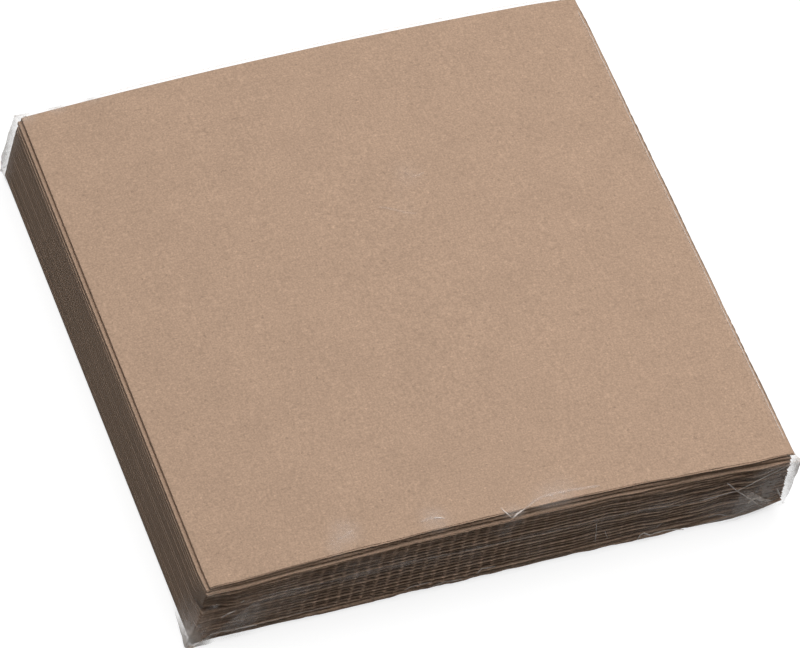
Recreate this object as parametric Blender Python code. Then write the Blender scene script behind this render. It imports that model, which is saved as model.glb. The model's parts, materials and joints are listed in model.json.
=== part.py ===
"""A sealed pack of twenty quarter-folded kraft paper napkins in one folded sheet of clear film.

Metres, +Z up. The pack lies on its film, with X along the front edge and Y towards the back.
Each napkin is one square sheet, folded in half and in half again. The first fold shows at the
back as two rounded edges, the second is the spine on the left, and the four free edges of the
sheet lie at the front and on the right. The film is a tube with a lap along its underside, and
each end is closed by an envelope fold: side tucks first, then the upper flap, then the lower one.
"""

import math
import random

import bpy

# One napkin
napkin_count = 20
sheet_side = 0.330
layer_thickness = 0.00017
layer_gap = 0.00005
front_lip = 0.0010  # how far the inner layers run past the outer ones at the front

# The stack
napkin_pitch = 0.00113  # from napkin to napkin at the corners of the stack
drift = 0.0006  # how far a napkin may lie off the stack's middle
lean_x = 0.0017  # the top of the stack against its foot
lean_y = -0.0011
crown_height = 0.0039  # the middle of the top above its corners
crown_fall_share = 0.12  # part of the crown that is lost at the front and back edges

# The film
film_thickness = 0.00006
film_layer_pitch = 0.00028  # from one layer of film to the next where they overlap
seat_gap = 0.00030  # between film and paper
side_radius = 0.0010  # the long edges of the tube
end_radius = 0.0012  # the edges round each end face
flap_length = 0.0160
pinhole = 0.0015  # the folds of an end do not quite close where they meet at its corners
lap_width = 0.0200
lap_ramp = 0.0040  # where the inner lap comes down beside the outer one
ear_reach = 0.0022  # the loose corners of the film stand out this far

# Where the surfaces are divided
spine_steps = 4
first_fold_steps = 4
inner_fold_steps = 2
napkin_length_steps = 4
napkin_width_steps = 2
roof_shares = (-1.0, -0.85, -0.64, -0.42, -0.21, 0.0, 0.21, 0.42, 0.64, 0.85, 1.0)
floor_shares = (0.4, 0.68, 0.86, 1.0)
side_shares = (0.0, 0.22, 0.5, 0.78, 1.0)
tube_row_shares = (-1.0, -0.86, -0.62, -0.3, 0.0, 0.3, 0.62, 0.86, 1.0)
flap_row_shares = (0.28, 0.62, 1.0)

# Height of each loose film corner's tip, as a share of the side; keys are the signs of X and Y
ear_height_shares = {(-1, -1): 0.22, (1, -1): 0.78, (-1, 1): 0.22, (1, 1): 0.5}

# A tuck's folded edge lies inside the bend of the flap over it, by these shares of that bend
fold_drop_share = 0.62
edge_drop_share = 0.95

kraft_color = (0.445, 0.305, 0.216, 1.0)
kraft_roughness = 0.9
film_color = (0.80, 0.80, 0.79, 1.0)
film_roughness = 0.12
film_alpha = 0.22

# Sizes that follow from those above; spine_x and first_fold_y put a napkin's middle at zero
half_sheet = sheet_side / 2
doubled = 2 * layer_thickness + layer_gap
spine_radius = doubled + layer_gap / 2
napkin_thickness = 2 * spine_radius
spine_x = (spine_radius - half_sheet + math.pi * layer_gap / 4) / 2
half_x = spine_radius - spine_x
first_fold_arc = math.pi * (layer_thickness + layer_gap) / 2
inner_layer_run = (sheet_side - first_fold_arc + front_lip) / 2
first_fold_y = (inner_layer_run - doubled / 2) / 2
half_y = first_fold_y + doubled / 2
stack_height = (napkin_count - 1) * napkin_pitch + napkin_thickness
stack_floor = film_thickness + film_layer_pitch + seat_gap
film_half_x = half_x + drift + seat_gap + film_thickness / 2
film_half_y = half_y + drift + seat_gap + film_thickness / 2
film_top = stack_floor + stack_height + seat_gap + film_thickness / 2
film_floor = film_thickness / 2
corner_drop = side_radius * (1 - math.sqrt(0.5))


def smooth(share):
    """An even ramp from 0 to 1."""
    share = min(max(share, 0.0), 1.0)
    return share * share * (3 - 2 * share)


def crown_at(x, y):
    """How far the top bulges over the corners: a parabola across, a little less at both ends."""
    across = max(1 - (x / half_x) ** 2, 0.0)
    along = 1 - crown_fall_share * min(abs(y / half_y), 1.0) ** 2
    return crown_height * across * along


def leaned(x, y, z):
    """The whole pack leans: its top is pushed along X and Y against its foot."""
    share = z / film_top - 0.5
    return (x + lean_x * share, y + lean_y * share, z)


def material(name, color, roughness, alpha=1.0):
    paint = bpy.data.materials.new(name)
    paint.use_nodes = True
    shader = paint.node_tree.nodes["Principled BSDF"]
    shader.inputs["Base Color"].default_value = color
    shader.inputs["Roughness"].default_value = roughness
    shader.inputs["Alpha"].default_value = alpha
    paint.diffuse_color = color[:3] + (alpha,)
    return paint


def add_object(name, points, faces, paint):
    mesh = bpy.data.meshes.new(name)
    mesh.from_pydata(points, [], faces)
    mesh.materials.append(paint)
    mesh.validate()
    body = bpy.data.objects.new(name, mesh)
    bpy.context.collection.objects.link(body)
    return body


def spaced(start, end, steps):
    return [start + (end - start) * i / steps for i in range(steps + 1)]


def arc(center_a, center_b, radius, start, end, steps):
    """Points between, and without, the two ends of an arc."""
    turns = spaced(start, end, steps)[1:-1]
    return [(center_a + radius * math.cos(t), center_b + radius * math.sin(t)) for t in turns]


def doubled_section():
    """Outline of the sheet after its first fold, as (y, height over the inner face).

    The layer that will lie inside the napkin comes first and ends further forward.
    """
    inner_end = first_fold_y - inner_layer_run
    outer_end = inner_end + front_lip
    middle = doubled / 2
    quarter = math.pi / 2
    under = [(y, 0.0) for y in spaced(inner_end, first_fold_y, napkin_width_steps)]
    back = arc(first_fold_y, middle, middle, -quarter, quarter, first_fold_steps)
    over = [(y, doubled) for y in spaced(first_fold_y, outer_end, napkin_width_steps)]
    ceiling = doubled - layer_thickness
    lining = [(y, ceiling) for y in spaced(outer_end, first_fold_y, napkin_width_steps)]
    slot_radius = layer_gap / 2
    slot = arc(first_fold_y, middle, slot_radius, quarter, -quarter, inner_fold_steps)
    lower = [(y, layer_thickness) for y in spaced(first_fold_y, inner_end, napkin_width_steps)]
    return under + back + over + lining + slot + lower


def spine_path(height):
    """The way one layer takes from its upper free edge round the spine to its lower one.

    Outer layers go round the spine on a larger arc, so their free edges end further back.
    """
    radius = layer_gap / 2 + height
    run = half_sheet - radius * math.pi / 2
    ends = spaced(run, 0.0, napkin_length_steps)
    upper = [(spine_x + x, spine_radius + radius) for x in ends]
    turn = arc(spine_x, spine_radius, radius, math.pi / 2, math.pi * 3 / 2, spine_steps)
    lower = [(spine_x + x, spine_radius - radius) for x in reversed(ends)]
    return upper + turn + lower


def in_stack(x, y, height):
    """Seat a point of the flat stack in the crowned and leaning one."""
    stretch = 1 + crown_at(x, y) / stack_height
    return leaned(x, y, stack_floor + height * stretch)


def add_napkin(index, shift_x, shift_y, paint):
    """One sheet folded twice: the first fold's section, swept round the spine."""
    section = doubled_section()
    paths = [spine_path(height) for _, height in section]
    stations = len(paths[0])
    points = []
    for i in range(stations):
        for (y, _), path in zip(section, paths):
            x, height = path[i]
            points.append(in_stack(x + shift_x, y + shift_y, index * napkin_pitch + height))
    around = len(section)
    faces = []
    for i in range(stations - 1):
        for j in range(around):
            k = (j + 1) % around
            near, far = i * around, (i + 1) * around
            faces.append((near + j, far + j, far + k, near + k))
    faces.append(tuple(range(around)))
    faces.append(tuple(reversed(range((stations - 1) * around, stations * around))))
    return add_object(f"napkin_{index + 1:02d}", points, faces, paint)


def add_napkins(paint):
    """The stack, each napkin a little off its middle; the top one shows the edge below it."""
    chance = random.Random(7)
    for index in range(napkin_count):
        shift_x = drift * chance.uniform(-1, 1)
        shift_y = drift * chance.uniform(-1, 1)
        if index == napkin_count - 1:
            shift_x = drift
        if index == napkin_count - 2:
            shift_x = -drift
        add_napkin(index, shift_x, shift_y, paint)


def film_columns():
    """Lines that run along the tube, in order round it, from the inner lap to the outer one."""
    lap_share = lap_width / 2 / film_half_x
    ramp_share = (lap_width / 2 + lap_ramp) / film_half_x
    columns = [("floor", -lap_share, 1), ("floor", lap_share, 1), ("floor", ramp_share, 0)]
    columns += [("floor", share, 0) for share in floor_shares]
    for side in (1, -1):
        lower = [("floor_crease", side), ("floor_edge", side), ("floor_corner", side)]
        wall = [("wall", side, share) for share in side_shares]
        upper = [("roof_corner", side), ("roof_edge", side), ("roof_crease", side)]
        going_up = lower + wall + upper
        if side == 1:
            columns += going_up
            columns += [("roof", share) for share in reversed(roof_shares)]
        else:
            columns += list(reversed(going_up))
    columns += [("floor", -share, 0) for share in reversed(floor_shares)]
    columns += [("floor", -lap_share, 0), ("floor", lap_share, 0)]
    return columns


# Layers of film on an end face, counted outwards from the paper
layer_of = {
    "wall": 0,
    "roof_corner": 0.5,
    "roof_edge": 1,
    "roof_crease": 1,
    "floor_corner": 1.5,
    "roof": 2,
    "floor_edge": 3,
    "floor_crease": 3,
    "floor": 4,
}

# The bend round an end face's edge, then the flap; the length is measured past the bend's start
bend_rows = (0.0, end_radius * math.pi / 4, end_radius * math.pi / 2)
gusset_start = end_radius + pinhole
flap_rows = (gusset_start,)
flap_rows += tuple(gusset_start + share * (flap_length - gusset_start) for share in flap_row_shares)


def over_end(length, layer):
    """How far a point of the film lies in from the end face's edge, and how far out along Y."""
    reach = end_radius + layer * film_layer_pitch
    turn = min(length / end_radius, math.pi / 2)
    inset = end_radius * (1 - math.cos(turn))
    if length > end_radius * math.pi / 2:
        inset = length
    return inset, film_half_y - end_radius + reach * math.sin(turn)


def ear_at(side, end, share, length, row_share):
    """How far the film stands off at an upright corner of the pack, as (x, y)."""
    peak = ear_height_shares[side, end]
    tent = smooth(share / peak if share < peak else (1 - share) / (1 - peak))
    fade = 1.0 if length <= end_radius * math.pi / 2 else 0.0
    if row_share is not None:
        fade = 1.0 if abs(row_share) == 1.0 else 0.0
    out = ear_reach * tent * fade / math.sqrt(2)
    return side * out, end * out


def film_point(column, end, length, row_share=None):
    """A point of the film's middle surface.

    On the tube, row_share is the point's place along Y. Past it, length is the way that the
    film has gone over the edge of the end face, and end is the sign of that face.
    """
    kind = column[0]
    layer = layer_of[kind]
    if kind == "floor":
        layer -= column[2]
    if row_share is None:
        inset, out = over_end(length, layer)
        y = end * out
    else:
        inset = 0.0
        y = row_share * (film_half_y - end_radius)
    flat_half_x = film_half_x - side_radius
    roof = film_top
    floor = film_floor
    if kind in ("floor", "roof"):
        x = column[1] * (flat_half_x - inset)
        if kind == "roof":
            z = roof + crown_at(x, y) - inset
        else:
            z = floor + inset
            if row_share is not None or length < end_radius:
                z += column[2] * film_layer_pitch
        return leaned(x, y, z)
    side = column[1]
    x = side * (film_half_x - inset)
    if kind == "wall":
        share = column[2]
        z = floor + side_radius + share * (roof - floor - 2 * side_radius)
        ear_x, ear_y = ear_at(side, end, share, length, row_share)
        return leaned(x + ear_x, y + ear_y, z)
    bent = min(inset, end_radius)
    if kind.endswith("_corner"):
        drop = max(corner_drop, fold_drop_share * bent)
        if row_share is not None:
            x -= side * corner_drop
    elif kind.endswith("_edge"):
        drop = edge_drop_share * bent
    else:
        drop = inset
        x = side * (flat_half_x - inset)
    z = roof - drop if kind.startswith("roof") else floor + drop
    return leaned(x, y, z)


def film_rows():
    """Lines that run round the tube, from the front flaps' free edges to the back ones'."""
    past = [(length,) for length in bend_rows[1:] + flap_rows]
    rows = [(-1, row[0], None) for row in reversed(past)]
    for share in tube_row_shares:
        rows.append((-1 if share < 0 else 1, 0.0, share))
    rows += [(1, row[0], None) for row in past]
    return rows


def add_film(paint):
    """The wrap as one sheet, then given its thickness.

    The edge and the crease of a gusset exist only on a flap. Before it they fall together with
    the flap column beside them, and where they start a pinhole is left.
    """
    columns = film_columns()
    rows = film_rows()
    folded = [column[0].endswith(("_edge", "_crease")) for column in columns]
    points = []
    number = {}
    for r, (end, length, row_share) in enumerate(rows):
        for c, column in enumerate(columns):
            if length < gusset_start and folded[c]:
                continue
            number[r, c] = len(points)
            points.append(film_point(column, end, length, row_share))
        for c in range(len(columns)):
            if (r, c) not in number:
                number[r, c] = number[r, flap_edge_of(columns, c)]
    faces = []
    for r in range(len(rows) - 1):
        starts = (rows[r][1] < gusset_start) != (rows[r + 1][1] < gusset_start)
        for c in range(len(columns) - 1):
            if starts and (folded[c] or folded[c + 1]):
                continue
            ring = [number[r, c], number[r, c + 1], number[r + 1, c + 1], number[r + 1, c]]
            ring = [n for i, n in enumerate(ring) if n != ring[i - 1]]
            if len(ring) > 2:
                faces.append(tuple(ring))
    film = add_object("film_wrap", points, faces, paint)
    skin = film.modifiers.new("film thickness", "SOLIDIFY")
    skin.thickness = film_thickness
    skin.offset = 0.0
    skin.use_rim = True
    skin.use_quality_normals = True
    return film


def flap_edge_of(columns, c):
    """The flap column beside a gusset's column: the first or last of its roof or floor."""
    wanted = columns[c][0].split("_")[0]
    step = 1
    while columns[c + step][0] != wanted and columns[c - step][0] != wanted:
        step += 1
    return c + step if columns[c + step][0] == wanted else c - step


def centre_on_origin(bodies):
    """Bring the middle of the pack's underside to the origin."""
    bpy.context.view_layer.update()
    corners = [body.matrix_world @ vertex.co for body in bodies for vertex in body.data.vertices]
    middle = [(min(p[i] for p in corners) + max(p[i] for p in corners)) / 2 for i in (0, 1)]
    for body in bodies:
        for vertex in body.data.vertices:
            vertex.co.x -= middle[0]
            vertex.co.y -= middle[1]


def main():
    for old in list(bpy.data.objects):
        bpy.data.objects.remove(old, do_unlink=True)
    add_napkins(material("kraft_tissue", kraft_color, kraft_roughness))
    add_film(material("clear_film", film_color, film_roughness, film_alpha))
    centre_on_origin([body for body in bpy.data.objects if body.type == "MESH"])


main()
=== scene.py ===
# %% [markdown]
# # A sealed pack of kraft paper napkins
#
# The real object is a square stack of twenty brown tissue napkins. Each napkin is one sheet of
# paper, folded in half and in half again. One sheet of thin clear film is wrapped round the stack
# and folded shut at both ends. The lesson builds the same things in the same order: a camera and
# soft light, the two materials, the napkins as folded sheets, and the film round them.

import json
import math
import random
from types import SimpleNamespace

import bpy
import bmesh
import numpy as np
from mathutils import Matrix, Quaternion, Vector, noise
from mathutils.geometry import delaunay_2d_cdt

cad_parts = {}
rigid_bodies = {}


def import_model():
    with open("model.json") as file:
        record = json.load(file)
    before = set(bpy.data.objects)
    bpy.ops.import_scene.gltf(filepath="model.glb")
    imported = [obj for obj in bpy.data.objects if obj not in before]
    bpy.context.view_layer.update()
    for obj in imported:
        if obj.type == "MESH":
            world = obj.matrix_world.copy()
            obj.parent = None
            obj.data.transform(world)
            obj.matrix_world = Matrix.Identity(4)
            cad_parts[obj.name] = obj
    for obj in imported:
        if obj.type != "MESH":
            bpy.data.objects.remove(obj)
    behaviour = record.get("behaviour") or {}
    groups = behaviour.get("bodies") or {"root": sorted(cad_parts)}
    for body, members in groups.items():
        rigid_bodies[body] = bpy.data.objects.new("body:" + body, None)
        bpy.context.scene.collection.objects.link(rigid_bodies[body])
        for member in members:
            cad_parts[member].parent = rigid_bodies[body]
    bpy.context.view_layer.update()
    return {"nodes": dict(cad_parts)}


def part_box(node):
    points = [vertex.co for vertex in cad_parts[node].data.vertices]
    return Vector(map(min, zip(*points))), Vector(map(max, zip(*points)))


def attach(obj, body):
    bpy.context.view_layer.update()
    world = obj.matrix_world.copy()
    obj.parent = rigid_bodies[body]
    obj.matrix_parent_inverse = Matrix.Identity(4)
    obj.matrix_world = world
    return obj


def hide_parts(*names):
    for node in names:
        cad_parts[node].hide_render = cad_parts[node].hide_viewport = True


for old in list(bpy.data.objects):
    bpy.data.objects.remove(old, do_unlink=True)
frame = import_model()
mm = 0.001

# %% [markdown]
# ## Measuring the stack
#
# Every size that the solid model already has is read from it, so that the looks sit exactly where
# the solids are. The lowest corners of the first and the last napkin give the pitch of the stack.
# The top napkin's highest point lies in the middle of the crown, and its thickness in the middle
# is stretched by the crown, which gives the height of the stack at its corners.

# %% Measure the stack
napkin_names = sorted(name for name in frame["nodes"] if name.startswith("napkin_"))
napkin_count = len(napkin_names)
napkin_boxes = [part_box(name) for name in napkin_names]
first_low, first_high = napkin_boxes[0]
top_low, top_high = napkin_boxes[-1]
stack_floor = first_low.z
pitch = (top_low.z - first_low.z) / (napkin_count - 1)
middle_height = top_high.z - stack_floor
first_thickness = first_high.z - first_low.z
stack_height = (napkin_count - 1) * pitch / (1 - first_thickness / middle_height)
crown_height = middle_height - stack_height
napkin_thickness = stack_height - (napkin_count - 1) * pitch
half_x = (first_high.x - first_low.x) / 2
half_y = (first_high.y - first_low.y) / 2
napkin_centers = [(low + high) / 2 for low, high in napkin_boxes]
stack_middle = sum(napkin_centers, Vector()) / napkin_count
print("napkins:", napkin_count, "pitch, mm:", round(pitch / mm, 3))
print("stack at its corners, mm:", round(stack_height / mm, 2))
print("crown, mm:", round(crown_height / mm, 2))

# %% [markdown]
# ## The crown and the lean
#
# A stack of folded paper is thicker in the middle than at its edges, because the air stays in.
# Seen from the front the top is a shallow arch, so a parabola across X gives its shape, a little
# lower towards the front and back edges. The pack has also been pushed a little out of square.

# %% Crown and lean
crown_fall_share = 0.12
lean_x = 1.7 * mm
lean_y = -0.1 * mm


def ramp(share):
    """An even ramp from 0 to 1, for single numbers and for arrays."""
    share = np.clip(share, 0.0, 1.0)
    return share * share * (3 - 2 * share)


def crown_at(x, y):
    """How far the top bulges over the corners at a place measured from the stack's middle."""
    across = np.maximum(1 - (x / half_x) ** 2, 0.0)
    along = 1 - crown_fall_share * np.minimum(np.abs(y / half_y), 1.0) ** 2
    return crown_height * across * along


print("crown at the front edge, mm:", round(float(crown_at(0.0, -half_y)) / mm, 2))

# %% [markdown]
# ## Camera
#
# A long lens far away keeps the pack's edges almost parallel, as in a product photograph. The
# camera is set by what one would read off a tripod: where it aims, how far it stands, its compass
# angle and height angle, and how far it is rolled.

# %% Camera
aim = Vector((2.9 * mm, 1.0 * mm, 3.4 * mm))
camera_distance = 1.9105
camera_azimuth = math.radians(25.73)
camera_elevation = math.radians(51.32)
camera_roll = math.radians(8.12)
focal_pixels = 7000
picture_width_pixels = 800
level = math.cos(camera_elevation)
looking = Vector((
    math.sin(camera_azimuth) * level,
    math.cos(camera_azimuth) * level,
    -math.sin(camera_elevation),
))
camera_data = bpy.data.cameras.new("camera")
camera_data.sensor_width = 36
camera_data.lens = camera_data.sensor_width * focal_pixels / picture_width_pixels
camera_data.clip_end = 20
camera = bpy.data.objects.new("camera", camera_data)
camera.location = aim - looking * camera_distance
roll = Quaternion((0, 0, 1), camera_roll)
camera.rotation_mode = "QUATERNION"
camera.rotation_quaternion = looking.to_track_quat("-Z", "Y") @ roll
bpy.context.collection.objects.link(camera)
bpy.context.scene.camera = camera
bpy.context.scene.view_settings.view_transform = "Standard"
print("lens, mm:", round(camera_data.lens, 1))

# %% [markdown]
# ## Helpers for light
#
# A studio has a few soft boxes that all face the object, so one function makes each of them. A
# white backdrop should be white to look at, in a mirror or through film, and yet not throw so much
# light that the object's dark sides wash out. The second helper finds the rays that only look.

# %% Light helpers
def add_disk_light(name, place, diameter, power):
    """A round soft light that faces the pack."""
    data = bpy.data.lights.new(name, "AREA")
    data.shape = "DISK"
    data.size = diameter
    data.energy = power
    lamp = bpy.data.objects.new(name, data)
    lamp.location = place
    lamp.rotation_mode = "QUATERNION"
    lamp.rotation_quaternion = (-Vector(place)).to_track_quat("-Z", "Y")
    bpy.context.collection.objects.link(lamp)
    return lamp


def math_of(tree, operation, first, second):
    """One value worked out from two."""
    node = tree.nodes.new("ShaderNodeMath")
    node.operation = operation
    tree.links.new(first, node.inputs[0])
    tree.links.new(second, node.inputs[1])
    return node.outputs[0]


def seen_rays(tree):
    """1 for what is seen, directly, mirrored or through film, and 0 for light that bounces."""
    path = tree.nodes.new("ShaderNodeLightPath")
    seen = path.outputs["Is Camera Ray"]
    for name in ("Is Glossy Ray", "Is Transmission Ray"):
        seen = math_of(tree, "MAXIMUM", seen, path.outputs[name])
    return seen


print("light helpers ready")

# %% [markdown]
# ## Lights and world
#
# One large round soft light hangs over the pack, a little to its right, so the top is bright and
# the upright sides are dark. A smaller one, behind it on the left, gives the film its narrow
# glints. The world is white where it is seen, and adds only a trace of light to the shadows.

# %% Lights and world
soft_light = add_disk_light("soft light", (0.30, 0.06, 1.28), 1.9, 22)
key_light = add_disk_light("key light", (-0.25, 0.75, 1.7), 0.30, 5)
fill_share = 0.05

world = bpy.data.worlds.new("studio")
world.use_nodes = True
bpy.context.scene.world = world
sky = world.node_tree
backdrop = sky.nodes["Background"]
sky_mix = sky.nodes.new("ShaderNodeMix")
sky_mix.data_type = "FLOAT"
sky_mix.inputs["A"].default_value = fill_share
sky_mix.inputs["B"].default_value = 1.0
sky.links.new(seen_rays(sky), sky_mix.inputs["Factor"])
sky.links.new(sky_mix.outputs["Result"], backdrop.inputs["Strength"])
backdrop.inputs["Color"].default_value = (1, 1, 1, 1)
print("lights:", soft_light.name, key_light.name)

# %% [markdown]
# ## Floor
#
# The pack lies on a sheet of white paper. Its paint is a mid grey that also glows a little for the
# eye, which together reach white and still keep the pack's soft shadow. For the light that bounces
# the floor is dark, so that it doesn't brighten the sides of the pack from below.

# %% Floor
floor_size = 8.0
floor_drop = 0.05 * mm
floor_seen_tone = (0.34, 0.34, 0.34, 1)
floor_bounce_tone = (0.07, 0.07, 0.07, 1)
floor_glow_strength = 0.78

floor_mesh = bpy.data.meshes.new("floor")
half_floor = floor_size / 2
ways_out = ((-1, -1), (1, -1), (1, 1), (-1, 1))
floor_corners = [(half_floor * x, half_floor * y, 0) for x, y in ways_out]
floor_mesh.from_pydata(floor_corners, [], [(0, 1, 2, 3)])
floor = bpy.data.objects.new("floor", floor_mesh)
floor.location.z = -floor_drop
bpy.context.collection.objects.link(floor)

floor_paint = bpy.data.materials.new("floor")
floor_paint.use_nodes = True
paint_tree = floor_paint.node_tree
floor_shader = paint_tree.nodes["Principled BSDF"]
floor_shader.inputs["Roughness"].default_value = 0.9
floor_shader.inputs["Specular IOR Level"].default_value = 0.0
seen = seen_rays(paint_tree)
floor_tone = paint_tree.nodes.new("ShaderNodeMix")
floor_tone.data_type = "RGBA"
floor_tone.inputs["A"].default_value = floor_bounce_tone
floor_tone.inputs["B"].default_value = floor_seen_tone
paint_tree.links.new(seen, floor_tone.inputs["Factor"])
paint_tree.links.new(floor_tone.outputs["Result"], floor_shader.inputs["Base Color"])
floor_glow = paint_tree.nodes.new("ShaderNodeMath")
floor_glow.operation = "MULTIPLY"
floor_glow.inputs[1].default_value = floor_glow_strength
paint_tree.links.new(seen, floor_glow.inputs[0])
floor_shader.inputs["Emission Color"].default_value = (1, 1, 1, 1)
paint_tree.links.new(floor_glow.outputs[0], floor_shader.inputs["Emission Strength"])
floor_mesh.materials.append(floor_paint)
print("floor, m:", floor_size, "square")

# %% [markdown]
# ## Kraft tissue
#
# Unbleached tissue is a soft brown with no shine. Close up it has cloudy patches a centimetre
# across, a felt of short fibres, and a few dark and light specks. Each of these is one noise
# texture at its own scale, in metres on the object, and together they drive the colour. The
# fibres also drive a slight bump. Near the free edges a value on the mesh paints light and shade
# into the colour: painted shade in the gaps between sheets, a painted highlight on the outermost lip.

# %% Texture helpers
def texture_place(tree, stretch=(1, 1, 1), turn=0.0):
    """Object coordinates, stretched and turned about Z."""
    place = tree.nodes.new("ShaderNodeTexCoord")
    mapping = tree.nodes.new("ShaderNodeMapping")
    mapping.inputs["Scale"].default_value = stretch
    mapping.inputs["Rotation"].default_value = (0, 0, turn)
    tree.links.new(place.outputs["Object"], mapping.inputs["Vector"])
    return mapping.outputs["Vector"]


def noise_output(tree, grain, detail=2.0, stretch=(1, 1, 1), turn=0.0):
    """Noise whose patches are about as wide as the grain, in metres."""
    texture = tree.nodes.new("ShaderNodeTexNoise")
    texture.inputs["Scale"].default_value = 1 / grain
    texture.inputs["Detail"].default_value = detail
    tree.links.new(texture_place(tree, stretch, turn), texture.inputs["Vector"])
    return texture.outputs["Fac"]


def to_range(tree, value, low, high, low_out, high_out):
    """Map a value from one range to another, and hold it there."""
    node = tree.nodes.new("ShaderNodeMapRange")
    node.inputs["From Min"].default_value = low
    node.inputs["From Max"].default_value = high
    node.inputs["To Min"].default_value = low_out
    node.inputs["To Max"].default_value = high_out
    tree.links.new(value, node.inputs["Value"])
    return node.outputs["Result"]


print("texture helpers ready")

# %% Kraft tissue
tissue_color = (0.445, 0.305, 0.216)
cloud_size = 11 * mm
felt_size = 0.50 * mm
speck_size = 1.1 * mm
fleck_size = 0.8 * mm
fibre_depth = 0.05 * mm


def make_tissue():
    """Soft brown paper: clouds, felt, fibres, dark specks and light flecks on one base colour."""
    tissue = bpy.data.materials.new("kraft tissue")
    tissue.use_nodes = True
    tree = tissue.node_tree
    shader = tree.nodes["Principled BSDF"]
    shader.inputs["Roughness"].default_value = 0.92
    shader.inputs["Specular IOR Level"].default_value = 0.2
    clouds = to_range(tree, noise_output(tree, cloud_size, 3.0), 0.3, 0.7, 0.97, 1.03)
    felt = to_range(tree, noise_output(tree, felt_size, 3.0), 0.3, 0.7, 0.84, 1.16)
    fibres_a = noise_output(tree, felt_size, 2.0, (1, 0.25, 1), math.radians(25))
    fibres_b = noise_output(tree, felt_size, 2.0, (0.25, 1, 1), math.radians(-15))
    fibres = math_of(tree, "MULTIPLY", fibres_a, fibres_b)
    fibre_tone = to_range(tree, fibres, 0.12, 0.40, 0.93, 1.07)
    specks = to_range(tree, noise_output(tree, speck_size, 1.0), 0.68, 0.76, 1.0, 0.80)
    fleck_noise = noise_output(tree, fleck_size, 1.0, (1, 1, 1.1))
    flecks = to_range(tree, fleck_noise, 0.67, 0.75, 1.0, 1.16)
    tone = math_of(tree, "MULTIPLY", clouds, felt)
    # The value on the mesh is painted light and shade: a highlight on each lip, shade in the gaps.
    edges = tree.nodes.new("ShaderNodeAttribute")
    edges.attribute_name = "painted_edge_shading"
    for part in (fibre_tone, specks, flecks, edges.outputs["Fac"]):
        tone = math_of(tree, "MULTIPLY", tone, part)
    scaled = tree.nodes.new("ShaderNodeVectorMath")
    scaled.operation = "SCALE"
    scaled.inputs[0].default_value = tissue_color
    tree.links.new(tone, scaled.inputs["Scale"])
    tree.links.new(scaled.outputs["Vector"], shader.inputs["Base Color"])
    bump = tree.nodes.new("ShaderNodeBump")
    bump.inputs["Distance"].default_value = fibre_depth
    bump.inputs["Strength"].default_value = 0.5
    tree.links.new(fibres, bump.inputs["Height"])
    tree.links.new(bump.outputs["Normal"], shader.inputs["Normal"])
    return tissue


tissue = make_tissue()
print("material:", tissue.name)

# %% [markdown]
# ## Clear film
#
# Where thin film lies flat it can hardly be seen. It shows where it is bent, cut or crumpled: a
# fold catches the light as a white line, and a crumpled corner turns grey. So the mesh carries a
# value named haze, near 0 on flat film and near 1 in a fold, and the material mixes from clear to
# a glossy warm grey by it. A little is added where the film is seen at a flat angle, as on any
# clear film.

# %% Clear film
film_color = (0.80, 0.71, 0.64, 1)
crackle_size = 1.6 * mm
dent_size = 3 * mm
dent_depth = 0.15 * mm


def make_film():
    """Clear film that turns to a glossy grey where its mesh says that it is hazy."""
    film = bpy.data.materials.new("clear film")
    film.use_nodes = True
    tree = film.node_tree
    shader = tree.nodes["Principled BSDF"]
    shader.inputs["Base Color"].default_value = film_color
    shader.inputs["Roughness"].default_value = 0.20
    shader.inputs["IOR"].default_value = 1.5
    haze = tree.nodes.new("ShaderNodeAttribute")
    haze.attribute_name = "haze"
    grazing = tree.nodes.new("ShaderNodeLayerWeight")
    grazing.inputs["Blend"].default_value = 0.15
    edge_on = to_range(tree, grazing.outputs["Fresnel"], 0.3, 1.0, 0.002, 0.04)
    crackle = to_range(tree, noise_output(tree, crackle_size, 3.0), 0.35, 0.65, 0.72, 1.18)
    clouded = math_of(tree, "MULTIPLY", haze.outputs["Fac"], crackle)
    cover = tree.nodes.new("ShaderNodeMath")
    cover.operation = "ADD"
    cover.use_clamp = True
    tree.links.new(edge_on, cover.inputs[0])
    tree.links.new(clouded, cover.inputs[1])
    clear = tree.nodes.new("ShaderNodeBsdfTransparent")
    mix = tree.nodes.new("ShaderNodeMixShader")
    tree.links.new(cover.outputs[0], mix.inputs[0])
    tree.links.new(clear.outputs[0], mix.inputs[1])
    tree.links.new(shader.outputs[0], mix.inputs[2])
    tree.links.new(mix.outputs[0], tree.nodes["Material Output"].inputs["Surface"])
    bump = tree.nodes.new("ShaderNodeBump")
    bump.inputs["Distance"].default_value = dent_depth
    bump.inputs["Strength"].default_value = 0.22
    tree.links.new(noise_output(tree, dent_size, 2.0), bump.inputs["Height"])
    tree.links.new(bump.outputs["Normal"], shader.inputs["Normal"])
    return film


clear_film = make_film()
print("material:", clear_film.name)

# %% [markdown]
# ## The flat sheet of a napkin
#
# Before folding, a napkin is a flat square. Its places are measured from the two fold lines: p
# across the spine, q across the first fold. The triangles are small along the edges and the
# folds, which show, and large in between, which doesn't show. Rings of points, each with its own
# depth and spacing, are joined by Delaunay triangulation, which suits points without a grid.

# %% Sizes of the paper and its folds
sheet_side = 330 * mm
paper = 0.17 * mm
layer_gap = 0.05 * mm
front_lip = 0.2 * mm
spine_roundness = 0.11
half_sheet = sheet_side / 2
fold_radius = (paper + layer_gap) / 2
layer_radius = paper + layer_gap
spine_arc = (layer_radius + fold_radius) * math.pi / 2
fold_arc = fold_radius * math.pi / 2
q_inner = half_sheet + front_lip / 2
q_outer = half_sheet - front_lip / 2
print("paper turns round the spine over, mm:", round(2 * spine_arc / mm, 2))

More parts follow.
